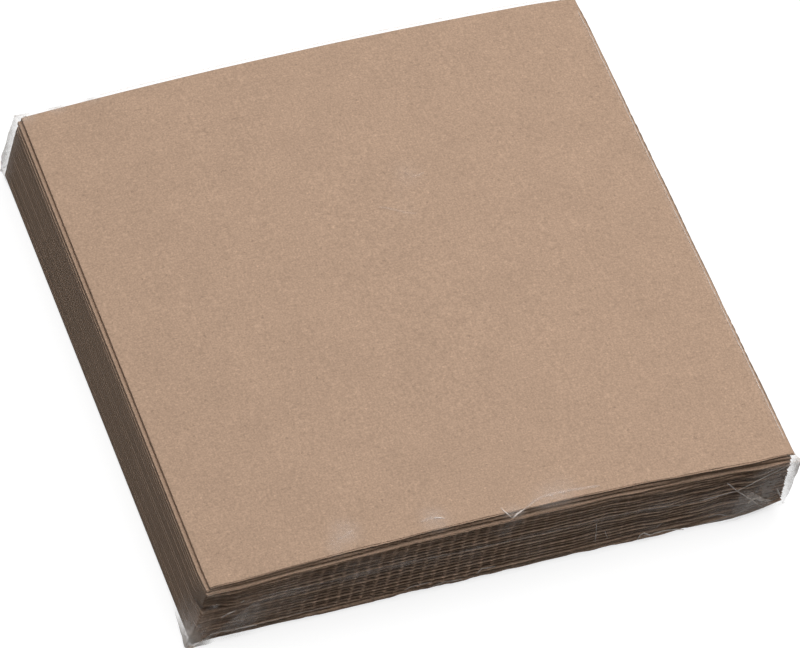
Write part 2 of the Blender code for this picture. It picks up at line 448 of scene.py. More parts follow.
# %% Lines on the flat sheet
# In mm: depth from a fold, depth from a free edge, spacing along folds, spacing along free edges
ring_sizes = (
    (0.0, 0.0, 3.3, 0.82),
    (0.6, 0.5, 3.3, 0.82),
    (1.8, 1.5, 3.3, 1.65),
    (4.5, 3.4, 5.5, 3.3),
    (9.0, 7.5, 8.0, 6.6),
)
inner_grid = 14 * mm
top_grid = 2.6 * mm
weld = 0.001 * mm


def line(start, end, spacing):
    """Even places on a straight line, both ends in, about a spacing apart."""
    (p0, q0), (p1, q1) = start, end
    long = max(abs(p1 - p0), abs(q1 - q0))
    count = max(int(round(long / spacing)), 1) + 1
    return list(zip(np.linspace(p0, p1, count), np.linspace(q0, q1, count)))


def ring(p_low, p_high, q_low, q_high, fold_step, free_step):
    """Lines round a rectangle whose low sides lie along folds and high sides along free edges.

    The front edge, which is embossed, has points twice as close as the right one.
    """
    return [
        line((p_low, q_low), (p_high, q_low), fold_step),
        line((p_low, q_low), (p_low, q_high), fold_step),
        line((p_low, q_high), (p_high, q_high), free_step / 2),
        line((p_high, q_low), (p_high, q_high), free_step),
    ]


def quadrant(q_end, grid):
    """Lines of one quarter of the sheet, from the ends of the fold arcs to the free edges."""
    lines = []
    for ring_size in ring_sizes:
        fold_depth, free_depth, fold_step, free_step = (size * mm for size in ring_size)
        p_low = spine_arc + fold_depth
        q_low = fold_arc + fold_depth
        p_high = half_sheet - free_depth
        lines += ring(p_low, p_high, q_low, q_end - free_depth, fold_step, free_step)
    p_low += fold_step
    p_high = half_sheet - free_depth - fold_step
    q_low += fold_step
    q_high = q_end - free_depth - fold_step
    lines += [line((p, q_low), (p, q_high), grid) for p, _ in line((p_low, 0), (p_high, 0), grid)]
    return lines


def arc_lines():
    """Lines along both folds, close together round the bends and across each other's bend."""
    fold_step = ring_sizes[0][2] * mm
    across_spine = np.linspace(-spine_arc, spine_arc, 13)
    across_fold = np.linspace(-fold_arc, fold_arc, 5)
    lines = []
    for p in across_spine:
        lines.append(line((p, -q_outer), (p, -fold_arc), fold_step))
        lines.append([(p, q) for q in across_fold])
        lines.append(line((p, fold_arc), (p, q_inner), fold_step))
    for q in across_fold:
        lines.append(line((-half_sheet, q), (-spine_arc, q), fold_step))
        lines.append([(p, q) for p in across_spine])
        lines.append(line((spine_arc, q), (half_sheet, q), fold_step))
    return lines


print("lines in the folds:", len(arc_lines()))


# %% The flat sheet
def flat_sheet(fine_top=False):
    """Points and triangles of the flat sheet; a fine top is close in the quarter that shows."""
    lines = arc_lines()
    for p_sign in (-1, 1):
        for q_sign, q_end in ((-1, q_outer), (1, q_inner)):
            fine = fine_top and p_sign < 0 and q_sign < 0
            for row in quadrant(q_end, top_grid if fine else inner_grid):
                lines.append([(p_sign * p, q_sign * q) for p, q in row])
    numbers = {}
    edges = set()
    for row in lines:
        keys = [(round(p / weld), round(q / weld)) for p, q in row]
        chain = [numbers.setdefault(key, len(numbers)) for key in keys]
        edges.update((min(pair), max(pair)) for pair in zip(chain, chain[1:]))
    points = [Vector(key) * weld for key in numbers]
    points, _, faces, *_ = delaunay_2d_cdt(points, sorted(edges), [], 0, weld / 10)
    return np.array([tuple(p) for p in points]), np.array([tuple(f) for f in faces])


def rim_of(faces):
    """Edges that only one triangle uses, in that triangle's direction."""
    uses = {}
    for a, b, c in faces:
        for edge in ((a, b), (b, c), (c, a)):
            uses[edge] = True
    return [edge for edge in uses if (edge[1], edge[0]) not in uses]


plain_sheet = flat_sheet()
top_sheet = flat_sheet(fine_top=True)
print("triangles in a flat sheet:", len(plain_sheet[1]), "in the top one:", len(top_sheet[1]))

# %% [markdown]
# ## Folding the sheet
#
# Folding is a formula. A fold bends the sheet round a small half circle, and beyond the half
# circle the sheet runs on flat. The first fold gives the place along Y and how far the paper lies
# from the napkin's middle plane. The second one takes that distance as its radius, so the inner
# layers turn in a tight curve and the outer ones in a wider one, as real paper does.

# %% Fold
spine_x = layer_radius + fold_radius + paper / 2 - half_x
fold_y = half_y - fold_radius - paper / 2


def folded(p, q, side):
    """Places of the sheet after both folds, from the napkin's middle.

    The side is -1 on the paper's face inside the first fold and 1 on the other one. Also gives
    how far a place is from the front edge of its layer, and from its right edge.
    """
    first_turn = np.clip(q / fold_radius, -math.pi / 2, math.pi / 2)
    past_fold = np.maximum(np.abs(q) - fold_arc, 0.0)
    bend = fold_radius + side * paper / 2
    y = fold_y + bend * np.cos(first_turn) - past_fold
    radius = layer_radius - bend * np.sin(first_turn)
    own_radius = layer_radius - fold_radius * np.sin(first_turn)
    second_turn = np.clip(p / own_radius, -math.pi / 2, math.pi / 2)
    past_spine = np.maximum(np.abs(p) - own_radius * math.pi / 2, 0.0)
    x = spine_x - radius * np.cos(second_turn) ** spine_roundness + past_spine
    z = -radius * np.sin(second_turn)
    from_front = np.where(q > 0, q_inner, q_outer) - np.abs(q)
    from_right = half_sheet - np.abs(p)
    return x, y, z, from_front, from_right


test = folded(np.array([half_sheet]), np.array([-q_outer]), 1)
print("a lower front corner, mm:", [round(float(v[0]) / mm, 2) for v in test[:3]])

# %% [markdown]
# ## Loose edges
#
# In a real stack no two edges lie alike. Near its free edges each layer wanders up and down in the
# room between its neighbours, and the napkins are embossed along their edges, which closes the
# gaps at regular places. Each gap gets a weight that wanders along the edge, and the weights share
# out the room, so layers never cross.

# %% How edges wander
edge_depth = 12 * mm
emboss_pitch = 3.3 * mm


def wander(chance, waves):
    """A function of length that wanders between about -1 and 1; waves are lengths of its swings."""
    parts = [(math.tau / (w * chance.uniform(0.8, 1.25)), chance.uniform(0, math.tau)) for w in waves]
    size = math.sqrt(2 / len(parts)) * 0.75
    return lambda s: np.clip(size * sum(np.sin(k * s + phase) for k, phase in parts), -1, 1)


def emboss_at(s):
    """1 on an embossed column and 0 between them."""
    return np.maximum(np.cos(math.tau * s / emboss_pitch), 0.0) ** 1.2


def emboss_share(s, share):
    """How clear the embossing is: most in the middle and low down, little towards the right."""
    clear = 0.35 + 0.65 * ramp(1.5 * (1 - np.abs(s + 26 * mm) / (44 * mm)))
    return clear * (1 - 0.25 * share) * np.clip(0.3 + 8 * share, 0, 1)


def recess_share(s, share):
    """How far the lower layers lie behind the lip: less at the left end and near the top."""
    deep = (0.40 + 0.60 * ramp((s + 74 * mm) / (30 * mm))) * (1 - 0.45 * ramp((share - 0.6) / 0.3))
    return deep * np.clip(0.1 + 8 * share, 0, 1)


def wilder(s):
    """How much more the layers wander towards the right end, which has been crushed."""
    return 1 + 1.3 * ramp((s - 30 * mm) / (25 * mm))


print("embossed columns along an edge:", round(2 * half_x / emboss_pitch))

# %% Room between the layers
pressed_share = 0.50
swollen_share = 1.60
least_room = 0.02
room_waves = (60 * mm, 23 * mm, 9 * mm)


def layer_rooms(chance, under=1.0):
    """Weights of the four gaps of one napkin along an edge: under it, and inside it."""
    bases = (under, 0.04, 0.14, 0.04)
    swings = (0.35, 0.03, 0.10, 0.03)
    gaps = [(base, swing, wander(chance, room_waves)) for base, swing in zip(bases, swings)]
    return lambda s: [np.maximum(b + w * wilder(s) * way(s), least_room) for b, w, way in gaps]


def spread_layers(weights, layer, swell):
    """How far each layer moves off its place in the folded napkin, and its thickness."""
    thickness = paper * (pressed_share + (swollen_share - pressed_share) * swell)
    room = pitch * 0.98 - 4 * thickness
    total = sum(weights)
    height = -pitch * 0.49 * np.ones_like(swell)
    move = np.zeros_like(swell)
    home = -1.5 * layer_radius
    for index in range(4):
        height = height + room * weights[index] / total + thickness / 2
        move = np.where(layer == index, height - (home + index * layer_radius), move)
        height = height + thickness / 2
    return move, thickness


print("a layer where it is embossed, mm:", round(swollen_share * paper / mm, 2))

# %% [markdown]
# ## Painted light on the lips, painted shade in the gaps
#
# Light hardly reaches between sheets that lie a tenth of a millimetre apart, while the outermost
# lip catches the light from above. A render at this size can't follow such narrow gaps, so light
# and shade are painted into the colour near each free edge: a painted highlight on the outermost
# lip, painted shade behind it, and less painted shade on an embossed column, where the layers
# touch. This painted shading is stored on the mesh.

# %% Painted light and shade at the edges
painted_gap_shade = 0.52
painted_lip_highlight = 0.12
lip_width = 0.85 * mm


def painted_edge_shading(from_edge, on_top, covered, column, deep):
    """Painted light and shade near a free edge: highlight on a lip, shade in a gap, less on a column.
    """
    dark = painted_gap_shade * deep * (1 - 0.8 * column)
    inner = 1 - dark * ramp((5 * mm - from_edge) / (4 * mm))
    behind = ramp(from_edge / lip_width) * ramp((6 * mm - from_edge) / (4 * mm))
    lip = 1 + painted_lip_highlight - (painted_lip_highlight + dark) * behind
    return np.where(on_top, lip if covered else 1.0, inner)


print("tone in a gap:", round(1 - painted_gap_shade, 2), "on a lip:", 1 + painted_lip_highlight)

# %% [markdown]
# ## The shape of the used stack
#
# A pack that has been handled is no longer a square block. The film has pulled one corner up at the
# foot and another one down at the top, the stack is narrower at the back than at the front, its
# foot is wider than its top, the back edge bulges out, the front edge ripples, and at the front
# left corner the napkins have parted, which leaves a notch. Each of these is a small function of
# the place, and together they bend the straight stack.

# %% Corners, notch and ripples
lifts = (
    ((1, -1), 3.4 * mm, 11 * mm, 1.2),
    ((-1, -1), 0.1 * mm, 14 * mm, 1.3),
)
front_rise = 0.1 * mm
front_rise_reach = 22 * mm
notch_napkin = 11
notch_height = 2.7 * mm
notch_reach = 8 * mm
notch_depth = 1.2 * mm
reach_back = 1.5 * mm
ripple_height = 0.40 * mm
droop_height = 0.8 * mm
droop_reach = 15 * mm


def lift_at(x, y, share):
    """How far the bottom is bent up along the front edge; the share is the height in the stack."""
    rise = front_rise * np.clip(1 - (half_y + y) / front_rise_reach, 0, 1) ** 1.6
    for (side, end), height, reach, power in lifts:
        away = np.hypot(half_x - side * x, half_y - end * y)
        rise = rise + height * np.clip(1 - away / reach, 0, 1) ** power
    return rise * (1 - np.clip(share, 0, 1)) ** 1.2


def droop_at(x, y, share):
    """How far the back right corner hangs down at the top."""
    away = np.hypot(half_x - x, half_y - y)
    return droop_height * np.clip(1 - away / droop_reach, 0, 1) ** 1.5 * np.clip(share, 0, 1) ** 1.5


def notch_at(x, y, index):
    """How far a napkin is pushed off the notch at the front left corner, up above it, down below."""
    near = ramp(1 - np.hypot((half_x + x) * 0.8, half_y + y) / notch_reach)
    if index >= notch_napkin:
        return notch_height / 2 * near * (napkin_count - index) / (napkin_count - notch_napkin)
    return -notch_height / 2 * near * (index + 1) / notch_napkin


def reach_at(x):
    """How much further the back edge lies than on a square stack, most of all on the right."""
    u = x / half_x
    return reach_back * (0.68 + 0.57 * u + 0.30 * u * u)


def ripple_at(x, y, share):
    """Ripples along the front edge, clearest on the right and at half height."""
    near = np.clip(1 - (half_y + y) / (20 * mm), 0, 1) * ramp((x - 2 * mm) / (35 * mm))
    middle = 4 * np.clip(share, 0, 1) * (1 - np.clip(share, 0, 1))
    wave = np.sin(math.tau * x / (31 * mm) + 2.2 * share)
    wave = wave + 0.5 * np.sin(math.tau * x / (12 * mm) - 3 * share)
    return ripple_height * near * middle * wave


print("front right corner bent up, mm:", round(float(lift_at(half_x, -half_y, 0.0)) / mm, 2))

# %% The bent stack
squeeze_back = 1.3 * mm
squeeze_front = 0.1 * mm
squeeze_left = 0.6 * mm
foot_left = 1.0 * mm
foot_right = 1.2 * mm


def bent(x, y, height):
    """Where a place of the straight stack goes: narrower at the back, crowned, corners bent."""
    share = height / stack_height
    back = np.clip((y + half_y) / (2 * half_y), 0, 1)
    right = ramp((x + 0.2 * half_x) / (1.2 * half_x))
    left = ramp((-x + 0.2 * half_x) / (1.2 * half_x))
    squeeze_right = squeeze_front + (squeeze_back - squeeze_front) * back
    sideways = left * squeeze_left * back - right * squeeze_right
    low = 1 - np.clip(share, 0, 1)
    sideways = sideways + low * (right * foot_right - left * foot_left)
    rise = crown_at(x, y) * share + lift_at(x, y, share) - droop_at(x, y, share)
    rise = rise + ripple_at(x, y, share)
    return x + sideways, stack_floor + height + rise


middle_top = bent(0.0, 0.0, stack_height)[1]
print("middle of the top over the floor, mm:", round(float(middle_top) / mm, 2))

# %% [markdown]
# ## Making one napkin
#
# No two napkins lie alike, so chance first decides how each one lies: its steps, its turn and how
# its edges wander. Then the folded sheet is loosened along its free edges and seated in the stack.
# Both faces of the paper are made in this way and joined round the edge of the sheet, so that each
# napkin is one closed sheet of paper with a thickness.

# %% What chance decides
# Steps to the left and to the front, in mm, from the top napkin down; the last holds for the rest
left_steps = (0.55, -0.35, -0.50, -0.58, -0.60)
front_steps = (-0.45, -0.80, -1.48, -1.40, -1.30)
# How far each layer's front edge lies behind the uppermost one's, in mm, from the lowest layer up
recesses = (0.52, 0.48, 0.40, 0.0)
top_recesses = (0.05, 0.10, -0.16, 0.0)
upper_recesses = (0.22, 0.25, 0.10, 0.0)


def draw_habits(index, chance):
    """What chance decides for one napkin: where it lies, and how its edges wander."""
    from_top = napkin_count - 1 - index
    step_left = left_steps[min(from_top, len(left_steps) - 1)] * mm
    step_front = front_steps[min(from_top, len(front_steps) - 1)] * mm
    own = SimpleNamespace(index=index, from_top=from_top, share=index / napkin_count)
    own.shift_x = stack_middle.x + step_left + chance.uniform(-0.03, 0.03) * mm
    own.shift_y = stack_middle.y + step_front + chance.uniform(-0.10, 0.10) * mm
    own.turn = math.radians(chance.uniform(-0.05, 0.05))
    own.front_rooms = layer_rooms(chance, under={0: 0.05, napkin_count - 1: 0.8}.get(index, 0.85))
    own.right_rooms = layer_rooms(chance)
    own.front_ways = [wander(chance, (90 * mm, 40 * mm)) for _ in range(4)]
    own.right_ways = [wander(chance, (90 * mm, 40 * mm)) for _ in range(4)]
    own.emboss_shift = chance.uniform(-0.25, 0.25) * mm
    own.lip_scale = chance.uniform(0.65, 1.25)
    own.recesses = {0: top_recesses, 1: upper_recesses, 2: upper_recesses}.get(from_top, recesses)
    own.strength = wander(chance, (70 * mm, 40 * mm))
    own.proud = wander(chance, (110 * mm, 45 * mm, 20 * mm))
    return own


trial = draw_habits(napkin_count - 1, random.Random(1))
print("the top napkin could lie at x, mm:", round(trial.shift_x / mm, 2))

# %% Loosen and seat one napkin
spine_fill = 0.99 * pitch / (4 * paper + 3 * layer_gap) - 1
fold_reach = 9 * mm
proud_swing = 0.11 * mm
front_swing = 0.10 * mm
right_swing = 0.12 * mm


def loosened(place, layer, face_up, own):
    """Spread the layers near the free edges; gives the place and the light and shade painted there."""
    x, y, z, from_front, from_right = place
    from_spine = half_x + x
    from_back = half_y - y
    near_spine = ramp(1 - from_spine / fold_reach)
    near_back = ramp(1 - from_back / fold_reach)
    z = z * (1 + spine_fill * np.maximum(near_spine, near_back))
    front = ramp(1 - from_front / edge_depth) * ramp(from_spine / (7 * mm))
    right = ramp(1 - from_right / edge_depth) * ramp(from_back / (7 * mm)) * (1 - front)
    clear = (0.85 + 0.15 * own.strength(x)) * emboss_share(x, own.share)
    column = emboss_at(x + own.emboss_shift) * clear
    swell_front = (column + 0.40 * (1 - clear)) * front
    swell_right = emboss_at(y + own.emboss_shift) * (0.6 + 0.4 * own.strength(y)) * right
    move_front, thick_front = spread_layers(own.front_rooms(x), layer, swell_front)
    move_right, thick_right = spread_layers(own.right_rooms(y), layer, swell_right)

    on_top = (layer == 3) & (face_up > 0)
    deep = recess_share(x, own.share)
    gap_depth = deep * (1 - 0.6 * ramp((own.share - 0.6) / 0.3))
    # Painted light and shade near the free edges: a painted highlight on the lip, painted shade in the
    # gaps.
    tone = 1 + front * (painted_edge_shading(from_front, on_top, own.from_top > 2, column, gap_depth) - 1)
    tone = tone + right * (painted_edge_shading(from_right, on_top, own.from_top > 0, swell_right, 1.0) - 1)
    # More painted shading along the front edge: lighter on the embossed columns, darker between them.
    near_edge = ramp(1 - from_front / (3 * mm)) * (own.from_top > 2)
    tone = tone * (1 + 0.55 * near_edge * (column - 0.38 * clear))

    z = z + front * (move_front + face_up * (thick_front - paper) / 2)
    z = z + right * (move_right + face_up * (thick_right - paper) / 2)
    pressed = 1 - 0.7 * clear * emboss_at(x + own.emboss_shift)
    y = y + front * own.lip_scale * deep * np.choose(layer, own.recesses) * mm * pressed
    y = y + front * proud_swing * own.proud(x) * wilder(x)
    for number in range(4):
        mine = layer == number
        y = y + np.where(mine, front * front_swing * own.front_ways[number](x), 0)
        x = x + np.where(mine, right * right_swing * own.right_ways[number](y), 0)
    return x, y, z, tone


def seated(x, y, z, own):
    """Turn a napkin a little, lift it to its height, and bend and lean it with the stack."""
    x, y = x - own.turn * y, y + own.turn * x
    height = own.index * pitch + napkin_thickness / 2 + z
    y = y + reach_at(x) * np.clip((y + half_y) / (2 * half_y), 0, 1)
    share = height / stack_height
    opening = notch_at(x, y, own.index)
    dent = np.abs(opening) / (notch_height / 2) * notch_depth
    x, y, height = x + dent, y + dent, height + opening
    x, height = bent(x, y, height)
    x = x + own.shift_x + lean_x * (share - 0.5)
    y = y + own.shift_y + lean_y * (share - 0.5)
    return np.stack([x, y, height], axis=1)


def shaped_napkin(index, plan, chance):
    """Points of both faces of one napkin's paper, and the light and shade painted on them."""
    own = draw_habits(index, chance)
    p, q = plan[0][:, 0], plan[0][:, 1]
    upper, outer = p < 0, q < 0
    layer = np.where(upper, np.where(outer, 3, 2), np.where(outer, 0, 1))
    faces = []
    painted_shadings = []
    for side in (-1, 1):
        face_up = side * np.where(outer, 1, -1) * np.where(upper, 1, -1)
        x, y, z, tone = loosened(folded(p, q, side), layer, face_up, own)
        faces.append(seated(x, y, z, own))
        painted_shadings.append(tone)
    return faces, painted_shadings


print("the layers swell at the spine by, %:", round(100 * spine_fill))


# %% Mesh of one napkin
def joined_faces(plan):
    """Triangles of both faces and the strip round the edge."""
    count = len(plan[0])
    front = [tuple(face) for face in plan[1]]
    back = [(c + count, b + count, a + count) for a, b, c in plan[1]]
    strip = [(b, a, a + count, b + count) for a, b in rim_of(plan[1])]
    return front + back + strip


def add_piece(name, points, faces, paint):
    """A smooth mesh object that rides on the body of the frame."""
    mesh = bpy.data.meshes.new(name)
    mesh.from_pydata([tuple(point) for point in points], [], faces)
    mesh.materials.append(paint)
    mesh.shade_smooth()
    piece = bpy.data.objects.new(name, mesh)
    bpy.context.collection.objects.link(piece)
    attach(piece, "root")
    return piece


print("strip round a napkin, faces:", len(rim_of(plain_sheet[1])))

# %% [markdown]
# ## Making the stack
#
# The twenty napkins are made from the lowest one up. The top one is the only one whose face shows,
# and paper that lies loose is never quite flat, so its upper layer gets a slow, soft unevenness of
# less than a tenth of a millimetre.

# %% Make the stack
uneven_height = 0.07 * mm
chance = random.Random(11)
total_triangles = 0


def make_uneven(face, numbers):
    """Raise and lower the given points of a face by soft noise."""
    for number in numbers:
        x, y, z = face[number]
        soft = noise.noise(Vector((x, y, 0)) / (17 * mm))
        soft += 0.5 * noise.noise(Vector((y, x, 1)) / (7 * mm))
        face[number][2] = z + uneven_height * soft


for index, name in enumerate(napkin_names):
    plan = top_sheet if index == napkin_count - 1 else plain_sheet
    (inside, outside), painted_shadings = shaped_napkin(index, plan, chance)
    if index == napkin_count - 1:
        seen_above = np.flatnonzero((plan[0][:, 0] < 0) & (plan[0][:, 1] < 0))
        make_uneven(inside, seen_above)
        make_uneven(outside, seen_above)
    napkin = add_piece(f"folded_{name}", np.concatenate([inside, outside]), joined_faces(plan), tissue)
    napkin.data.set_sharp_from_angle(angle=math.radians(75))
    # The painted light and shade of the edges is stored on the mesh for the tissue to read.
    painted_shading_layer = napkin.data.attributes.new("painted_edge_shading", "FLOAT", "POINT")
    painted_shading_layer.data.foreach_set("value", np.concatenate(painted_shadings).astype(np.float32))
    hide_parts(name)
    total_triangles += 2 * len(plan[1])
print("napkins made:", napkin_count, "triangles about:", total_triangles)

# %% [markdown]
# ## The film
#
# The film is one sheet. Its columns run along the pack and go once round it: from the lap under
# the pack, up one side, over the top and down the other side, back to the lap. Its rows run round
# the tube. Past each end of the pack the side walls are tucked in first, then the upper flap comes
# down over them and the lower one comes up over that. Each place on the film has a column and a
# row, and one function turns them into a point.

# %% Film sizes
film_seat = 0.33 * mm
drift = 0.6 * mm
film_tuck_x = 1.1 * mm
film_slack_y = 0.9 * mm
film_floor_lift = 0.15 * mm
film_half_x = half_x + drift + film_seat
film_half_y = half_y + drift + film_seat + film_slack_y
film_top = stack_floor + stack_height + film_seat
film_layer = 0.07 * mm
side_radius = 1.0 * mm
end_radius = 0.7 * mm
lap_width = 20 * mm
roof_flap = 11.0 * mm
floor_flap = 17.0 * mm
wall_tuck = 14.0 * mm

# Sideways run of each flap's slanted edge for each unit of its length, by side and end
roof_slant_shares = {(-1, -1): 1.4, (1, -1): 2.0, (-1, 1): 1.2, (1, 1): 1.1}
floor_slant_shares = {(-1, -1): 0.9, (1, -1): 0.78, (-1, 1): 1.0, (1, 1): 0.9}
layer_of = {"wall": 0, "roof": 2, "floor": 4, "roof_gusset": 1, "floor_gusset": 3}

# %% [markdown]
# ## Columns and rows of the film
#
# The film is thin, so a mesh without thickness is enough, but it must be fine where it bends. The
# columns are close together on the sides and the top, and the rows get closer towards both ends,
# where the film is folded and crumpled. Each column has the name of the part that it belongs to.

# %% Film columns and rows
column_step = 1.1 * mm
wall_step = 0.9 * mm
bend_shares = (0.2, 0.4, 0.6, 0.8)
gusset_shares = (1.0, 0.5, 0.0)


def closing(start, end, widest, narrowest):
    """Places from start to end whose spacing shrinks towards the end."""
    places = [end]
    step = narrowest
    while places[-1] - step > start + step / 2:
        places.append(places[-1] - step)
        step = min(step * 1.25, widest)
    places.append(start)
    return places[::-1]


def film_columns():
    """The columns in order round the tube, as (part, side, share, lift)."""
    flat_half = film_half_x - side_radius
    lap = lap_width / 2 / flat_half
    columns = [("floor", 0, s, 1) for s in np.linspace(-lap, lap, 7)]
    outwards = closing(lap * 1.3, 1.0, 0.04, column_step / flat_half)
    columns += [("floor", 0, s, 0) for s in outwards]
    for side in (1, -1):
        wall_rows = np.linspace(0, 1, int(film_top / wall_step))
        climb = [("floor_gusset", side, s, 0) for s in gusset_shares]
        climb += [("floor_bend", side, s, 0) for s in bend_shares]
        climb += [("wall", side, s, 0) for s in wall_rows]
        climb += [("roof_bend", side, s, 0) for s in bend_shares]
        climb += [("roof_gusset", side, s, 0) for s in reversed(gusset_shares)]
        if side == 1:
            columns += climb
            count = int(2 * flat_half / column_step)
            columns += [("roof", 0, s, 0) for s in np.linspace(1, -1, count)]
        else:
            columns += climb[::-1]
    columns += [("floor", 0, -s, 0) for s in reversed(outwards)]
    columns += [("floor", 0, s, 0) for s in np.linspace(-lap, lap, 7)]
    return columns


def film_rows():
    """The rows from the front flaps' free edges to the back ones', as (end, way, share along Y)."""
    bend = end_radius * math.pi / 2
    bend_ways = [bend * s for s in (0.25, 0.5, 0.75, 1.0)]
    flap_shares = [0.0, 0.06, 0.12] + list(np.linspace(0.18, 0.96, 18)) + [0.975, 1.0]
    past = [("bend", way) for way in bend_ways] + [("flap", share) for share in flap_shares[1:]]
    rows = [(-1, kind, value) for kind, value in reversed(past)]
    flat_half = film_half_y - end_radius
    half = closing(0.0, flat_half, 6 * mm, 0.8 * mm)
    rows += [(-1, "tube", -y) for y in reversed(half[1:])]
    rows += [(1, "tube", y) for y in half]
    rows += [(1, kind, value) for kind, value in past]
    return rows


columns = film_columns()
rows = film_rows()
print("film columns:", len(columns), "rows:", len(rows))

# %% [markdown]
# ## Loose corners of the film
#
# At the four upright corners of the pack the film isn't pulled tight. It stands off as a small ear,
# widest at its tip and narrower above and below. Each ear is one row of a table, and the film
# nearby is pushed out by it.

# %% Film ears
# Side and end, tip's height share, reach along X and Y, spread, part that stands off all the way
# up, how fast it falls off from the tip, haze at the tip
ears = (
    (-1, -1, 0.02, 2.0 * mm, 0.1 * mm, 26 * mm, 0.03, 3.0, 1.50),
    (1, -1, 0.96, 2.2 * mm, 1.2 * mm, 11 * mm, 0.12, 1.0, 0.80),
    (-1, 1, 0.24, 1.2 * mm, 1.2 * mm, 16 * mm, 0.42, 0.9, 0.65),
    (1, 1, 0.50, 1.6 * mm, 1.4 * mm, 13 * mm, 0.25, 1.0, 0.60),
)


def ear_near(x, y, side, end, spread, end_spread=None):
    """1 in an upright corner of the wrap, falling to 0 at the spreads along both faces."""
    from_side = max(film_half_x - side * x, 0)
    from_end = max(film_half_y - end * y, 0)
    return max(1 - from_side / (end_spread or spread), 0) * max(1 - from_end / spread, 0)


def ear_tent(share, peak, base, power):
    """How much of an ear's reach is left at a height: all at its tip, the base far from it."""
    rise = share / peak if share < peak else (1 - share) / (1 - peak)
    return base + (1 - base) * max(rise, 0) ** power


def ear_at(x, y, share):
    """How far the film stands off near the four upright corners, as (x, y)."""
    out_x, out_y = 0.0, 0.0
    for side, end, peak, reach_x, reach_y, spread, base, power, _ in ears:
        near = ear_near(x, y, side, end, spread) ** 1.7
        off = near * ear_tent(share, peak, base, power)
        out_x += side * reach_x * off
        out_y += end * reach_y * off
    return out_x, out_y


ear_off = ear_at(-film_half_x, -film_half_y, 0.0)
print("front left ear at its foot, mm:", [round(way / mm, 1) for way in ear_off])

# %% [markdown]
# ## The folded shape of the film
#
# One function gives the point of each column and row. Round the tube it is easy: flat faces with
# small round bends. Past an end the rows turn the corner and run in over the end face. The walls
# go in first, the upper flap lies over them and the lower flap over that, each on its own layer,
# and between wall and flap the film makes a triangular gusset, as on a wrapped parcel.

# %% Film shape
def end_reach(part, end, kind, value):
    """How far a row has gone over an end's edge: inwards along the face, and out along Y."""
    own = layer_of.get(part, 0.5 if part == "roof_bend" else 1.5)
    reach = end_radius + own * film_layer
    flat = film_half_y - end_radius
    if kind == "bend":
        turn = value / end_radius
        return end_radius * (1 - math.cos(turn)), end * (flat + reach * math.sin(turn))
    part_length = {"wall": wall_tuck, "roof": roof_flap, "floor": floor_flap}
    long = part_length[part.split("_")[0]]
    if part.endswith("bend"):
        long = wall_tuck
    return end_radius + value * (long - end_radius), end * (flat + reach)


def film_point(column, row):
    """A point of the film before it is leaned and crumpled."""
    part, side, share, lift = column
    end, kind, value = row
    flat_half = film_half_x - side_radius
    inset = 0.0
    y = value
    if kind != "tube":
        inset, y = end_reach(part, end, kind, value)
    name = part.split("_")[0]
    if part in ("roof", "floor"):
        slants = roof_slant_shares if part == "roof" else floor_slant_shares
        right = flat_half - slants[1, end] * inset
        left = -flat_half + slants[-1, end] * inset
        x = left + (right - left) * (share + 1) / 2
        if part == "roof":
            return x, y, film_top + float(crown_at(x, y)) - inset
        return x, y, inset + (lift * film_layer if kind == "tube" else 0.0)
    rim = film_top if name == "roof" else 0.0
    way = -1 if name == "roof" else 1
    if part == "wall":
        x = side * (film_half_x - inset)
        return x, y, side_radius + share * (film_top - 2 * side_radius)
    if part.endswith("bend"):
        turn = (share if name == "roof" else 1 - share) * math.pi / 2
        drop = side_radius * (1 - math.sin(turn))
        across = side_radius * (1 - math.cos(turn))
        if kind != "tube":
            across *= max(1 - inset / end_radius, 0)
        drop = max(drop, 0.6 * min(inset, end_radius))
        return side * (film_half_x - inset - across), y, rim + way * drop
    slants = roof_slant_shares if name == "roof" else floor_slant_shares
    outer_x = film_half_x - (inset if kind != "tube" else side_radius)
    inner_x = flat_half - slants[side, end] * inset
    drop = inset * share + 0.95 * min(inset, end_radius) * (1 - share)
    return side * (inner_x * share + outer_x * (1 - share)), y, rim + way * drop


corner_place = film_point(("wall", 1, 1.0, 0), (1, "tube", 0.0))
print("top of the right wall, mm:", [round(float(v) / mm, 1) for v in corner_place])

# %% [markdown]
# ## Haze
#
# Film that has been rubbed or crumpled is cloudy. The ears are the cloudiest, the cut edges of the
# flaps a little, and on the top and the front there are faint patches where the film has been
# stretched and let go. The patches are listed by face and place, as one would note them down when
# looking at a real pack.

# %% Film haze
# Clouded patches as (face, x in mm, y or z in mm, radius in mm, haze)
haze_patches = (
    ("top", -43, -77.0, 6.5, 0.16),
    ("top", -47, -80.5, 4.0, 0.10),
    ("top", -19, -79.5, 6.0, 0.14),
    ("top", 2.0, -83.5, 4.0, 0.16),
    ("top", 12, -81.5, 7.0, 0.10),
    ("top", 17, -80.0, 7.0, 0.10),
    ("top", -80, 83.0, 3.0, 0.20),
    ("top", -72, 84.5, 4.0, 0.26),
    ("top", -62, 85.0, 4.0, 0.20),
    ("top", 13, 34.0, 5.5, 0.07),
    ("top", 9, 24.0, 5.0, 0.05),
    ("front", -79.8, 16.8, 1.8, 0.34),
    ("front", 0.0, 21.5, 5.0, 0.16),
    ("front", -70, 9.0, 10.0, 0.20),
    ("front", -60, 14.0, 13.0, 0.12),
    ("front", -40, 19.0, 12.0, 0.10),
    ("front", -28, 17.0, 6.0, 0.12),
    ("front", 76, 9.0, 9.0, 0.40),
    ("front", 68, 7.0, 8.0, 0.22),
    ("front", 78, 17.0, 8.0, 0.30),
    ("front", 60, 10.0, 9.0, 0.12),
    ("front", 44, 5.0, 6.0, 0.12),
    ("front", -20, 16.0, 7.0, 0.06),
    ("front", -8, 14.0, 6.0, 0.10),
    ("front", 10, 10.0, 12.0, 0.05),
    ("front", 28, 14.0, 9.0, 0.08),
    ("front", 45, 16.0, 10.0, 0.08),
)
cut_edge_haze = 0.04


